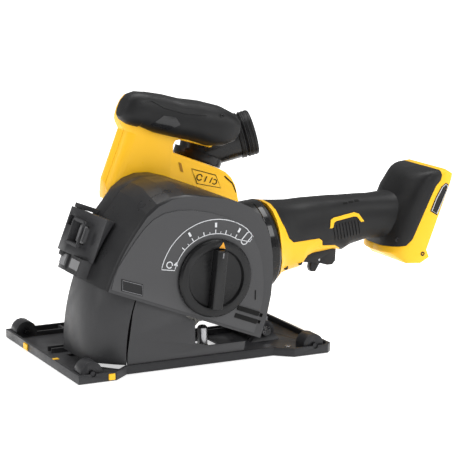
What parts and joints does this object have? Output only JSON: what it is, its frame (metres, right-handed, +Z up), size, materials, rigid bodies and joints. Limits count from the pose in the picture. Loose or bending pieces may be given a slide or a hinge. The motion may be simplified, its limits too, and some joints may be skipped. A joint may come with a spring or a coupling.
{
  "type": "wall chaser",
  "caption": "Cordless wall chaser: diamond discs in a split guard on a roller shoe, plunge pivot, depth dial, front grip, dust elbow and rear motor handle.",
  "frame": {"origin": "on the flat sole of the shoe, straight below the plunge pivot and midway across the shoe", "axes": "+X to the rear, towards the battery foot; -Y towards the depth dial; +Z up from the sole"},
  "size_m": [0.4721, 0.2053, 0.2584],
  "materials": {
    "guard_grey": "satin",
    "shoe_grey": "satin",
    "tool_yellow": "satin",
    "black_rubber": "matte",
    "black_plastic": "satin",
    "steel": "satin",
    "alloy": "satin",
    "copper": "satin",
    "diamond_steel": "matte"
  },
  "bodies": {
    "base": {"base_shoe": "shoe_grey", "plunge_pivot_pin": "steel", "depth_stop_post": "steel", "plunge_spring": "steel", "lower_guard": "guard_grey", "lower_guard_side_plate": "guard_grey", "roller_axle_front_near": "steel", "roller_axle_front_far": "steel", "roller_axle_rear_near": "steel", "roller_axle_rear_far": "steel"},
    "tool": {"guard_back": "guard_grey", "pivot_arm": "alloy", "guard_hinge_pin": "steel", "latch_pin": "steel", "gear_case": "alloy", "gear_case_cover": "alloy", "spindle_bearing_front": "steel", "spindle_bearing_rear": "steel", "pinion_bearing": "steel", "rotor_rear_bearing": "steel", "stator": "copper", "motor_housing_near": "tool_yellow", "motor_housing_far": "tool_yellow", "handle_overmold": "black_rubber", "motor_collar": "black_plastic", "trigger_switch": "black_plastic", "motor_controller": "black_plastic", "battery_terminals": "black_plastic", "trigger_pin": "steel", "duct_housing_near": "tool_yellow", "duct_housing_far": "tool_yellow", "front_grip": "black_rubber"},
    "cover": {"guard_cover": "guard_grey"},
    "dial": {"depth_dial": "black_plastic", "depth_cam": "steel", "depth_cam_screw": "steel"},
    "latch": {"latch_lever": "black_plastic"},
    "latch_slider": {"latch_lock_slider": "steel"},
    "spindle_group": {"spindle": "steel", "inner_flange": "steel", "diamond_disc_inner": "diamond_steel", "disc_spacer_wide": "steel", "disc_spacer_narrow": "steel", "diamond_disc_outer": "diamond_steel", "disc_spacer_end": "steel", "clamp_nut": "steel", "crown_gear": "steel"},
    "rotor_group": {"rotor": "steel", "pinion_gear": "steel", "cooling_fan": "black_plastic"},
    "lock_button": {"spindle_lock_button": "black_plastic"},
    "trigger": {"trigger": "black_plastic", "lock_off_pin": "steel"},
    "lock_off": {"lock_off_lever": "black_plastic"},
    "elbow": {"dust_elbow": "black_plastic", "dust_cuff": "black_rubber"},
    "roller_front_near": {"roller_front_near": "black_plastic"},
    "roller_front_far": {"roller_front_far": "black_plastic"},
    "roller_rear_near": {"roller_rear_near": "black_plastic"},
    "roller_rear_far": {"roller_rear_far": "black_plastic"}
  },
  "joints": [
    {"name": "plunge", "type": "hinge", "parent": "base", "child": "tool", "pos_m": [0, 0, 0.014], "axis": [0, -1, 0], "range_deg": [0, 18.2], "stiffness_Nm_per_rad": 6, "springref_deg": -126.05},
    {"name": "cover_open", "type": "hinge", "parent": "tool", "child": "cover", "pos_m": [-0.01507, -0.018, 0.04137], "axis": [0.3641, 0, 0.9314], "range_deg": [0, 28]},
    {"name": "dial_turn", "type": "hinge", "parent": "cover", "child": "dial", "pos_m": [-0.08023, -0.089, 0.08616], "axis": [0, -1, 0], "range_deg": [-34, 78]},
    {"name": "latch_swing", "type": "hinge", "parent": "tool", "child": "latch", "pos_m": [-0.19086, 0, 0.12726], "axis": [-0.3641, 0, -0.9314], "range_deg": [0, 80]},
    {"name": "latch_slider_slide", "type": "slide", "parent": "latch", "child": "latch_slider", "axis": [0.3641, 0, 0.9314], "range_m": [0, 0.0035]},
    {"name": "spindle_spin", "type": "hinge", "parent": "tool", "child": "spindle_group", "pos_m": [-0.11766, 0, 0.07556], "axis": [0, 1, 0], "continuous": true},
    {"name": "rotor_spin", "type": "hinge", "parent": "tool", "child": "rotor_group", "pos_m": [-0.01804, 0.031, 0.08428], "axis": [0.9962, 0, 0.0872], "continuous": true},
    {"name": "lock_button_press", "type": "slide", "parent": "tool", "child": "lock_button", "axis": [0, -1, 0], "range_m": [0, 0.002], "stiffness_N_per_m": 300},
    {"name": "trigger_squeeze", "type": "hinge", "parent": "tool", "child": "trigger", "pos_m": [0.07431, 0.031, 0.07278], "axis": [0, 1, 0], "range_deg": [-7, 0], "stiffness_Nm_per_rad": 0.6, "springref_deg": 34.38},
    {"name": "lock_off_tilt", "type": "hinge", "parent": "trigger", "child": "lock_off", "pos_m": [0.09702, 0.031, 0.06563], "axis": [0, -1, 0], "range_deg": [0, 20], "stiffness_Nm_per_rad": 0.1, "springref_deg": -34.38},
    {"name": "elbow_swivel", "type": "hinge", "parent": "tool", "child": "elbow", "pos_m": [-0.03461, 0.048, 0.17817], "axis": [0.3641, 0, 0.9314], "range_deg": [-12, 120]},
    {"name": "roll_front_near", "type": "hinge", "parent": "base", "child": "roller_front_near", "pos_m": [-0.212, -0.088, 0.0084], "axis": [0, 1, 0], "continuous": true},
    {"name": "roll_front_far", "type": "hinge", "parent": "base", "child": "roller_front_far", "pos_m": [-0.212, 0.088, 0.0084], "axis": [0, 1, 0], "continuous": true},
    {"name": "roll_rear_near", "type": "hinge", "parent": "base", "child": "roller_rear_near", "pos_m": [0.026, -0.088, 0.0084], "axis": [0, 1, 0], "continuous": true},
    {"name": "roll_rear_far", "type": "hinge", "parent": "base", "child": "roller_rear_far", "pos_m": [0.026, 0.088, 0.0084], "axis": [0, 1, 0], "continuous": true}
  ],
  "couplings": [
    {"joint": "rotor_spin", "follows": "spindle_spin", "ratio": -3}
  ]
}
